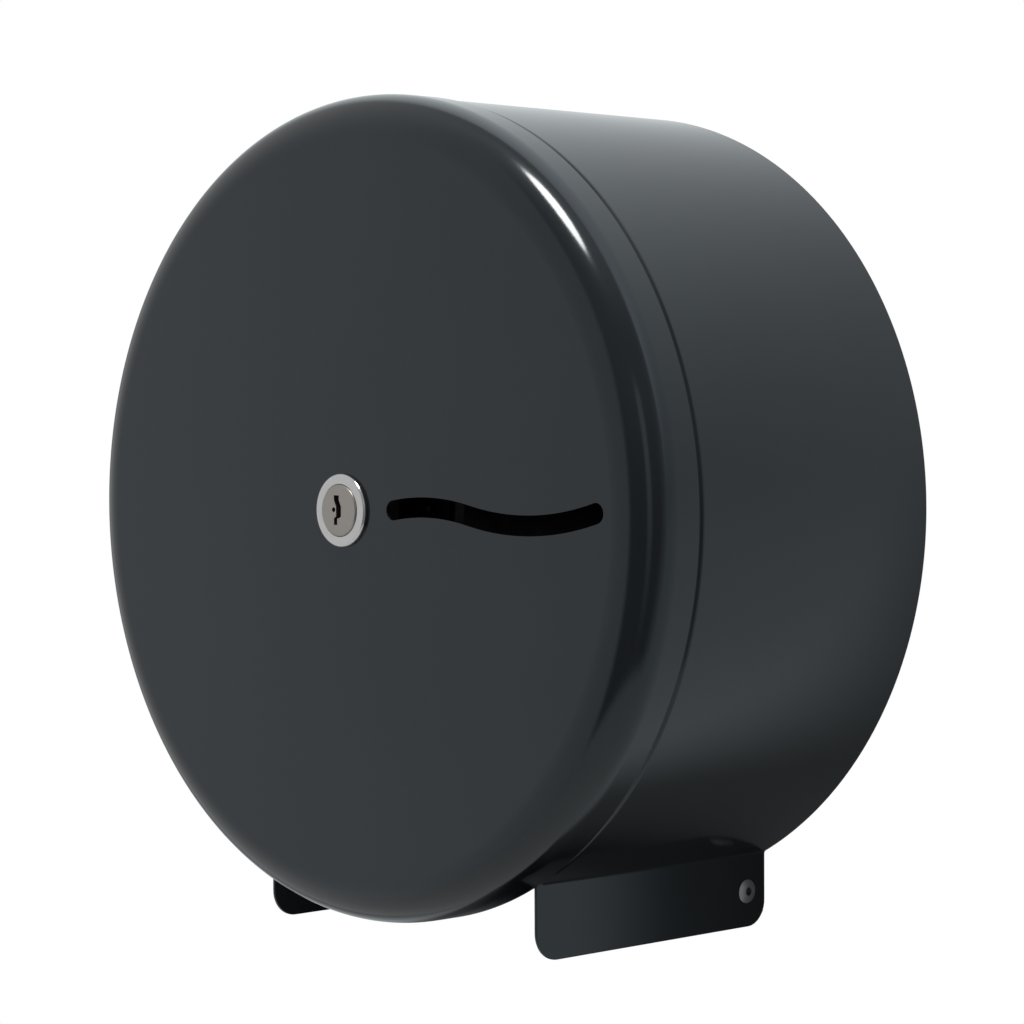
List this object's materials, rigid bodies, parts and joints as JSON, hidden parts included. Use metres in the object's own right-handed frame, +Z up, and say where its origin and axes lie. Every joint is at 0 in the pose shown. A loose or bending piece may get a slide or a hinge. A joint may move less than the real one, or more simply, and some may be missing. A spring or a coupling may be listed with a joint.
{
  "type": "jumbo toilet roll dispenser",
  "caption": "Round lockable steel drum for one large toilet roll, on a wall plate; its front cover hinges down over the paper mouth.",
  "frame": {"origin": "centre of the wall plate's rear face, on the axis of the roll", "axes": "+Y into the wall, so the front faces -Y; +Z up; +X to the right of someone facing it"},
  "size_m": [0.26, 0.1324, 0.2672],
  "materials": {
    "casing_paint": "gloss dark slate grey powder coat",
    "plate_paint": "satin dark slate grey powder coat",
    "lock_chrome": "polished, satin on the ring's face",
    "plug_satin": "satin nickel",
    "zinc": "bright zinc plate",
    "rivet_steel": "dull steel",
    "nylon": "natural nylon",
    "hub_plastic": "black moulded plastic"
  },
  "bodies": {
    "wall_frame": {"back_plate": "plate_paint", "pivot_rivets": "rivet_steel", "hinge_washers": "nylon", "spindle_flange": "plate_paint", "flange_rivets": "rivet_steel", "spindle_tube": "zinc", "spindle_cap": "zinc", "keeper_plate": "zinc", "keeper_screws": "zinc", "hub_washer": "nylon"},
    "cover": {"front_pan": "casing_paint", "drum_wall": "casing_paint", "lock_housing": "lock_chrome", "lock_washer": "zinc", "lock_nut": "zinc"},
    "lock_barrel": {"lock_plug": "plug_satin", "lock_cam": "zinc", "cam_washer": "zinc", "cam_screw": "zinc"},
    "roll_hub": {"hub_sleeve": "hub_plastic"}
  },
  "joints": [
    {"name": "cover_hinge", "type": "hinge", "parent": "wall_frame", "child": "cover", "pos_m": [0, -0.012, -0.1255], "axis": [1, 0, 0], "range_deg": [0, 90]},
    {"name": "lock_turn", "type": "hinge", "parent": "cover", "child": "lock_barrel", "pos_m": [0, -0.1304, 0], "axis": [0, 1, 0], "range_deg": [0, 90]},
    {"name": "hub_spin", "type": "hinge", "parent": "wall_frame", "child": "roll_hub", "pos_m": [0, -0.05745, 0], "axis": [0, 1, 0], "continuous": true}
  ]
}
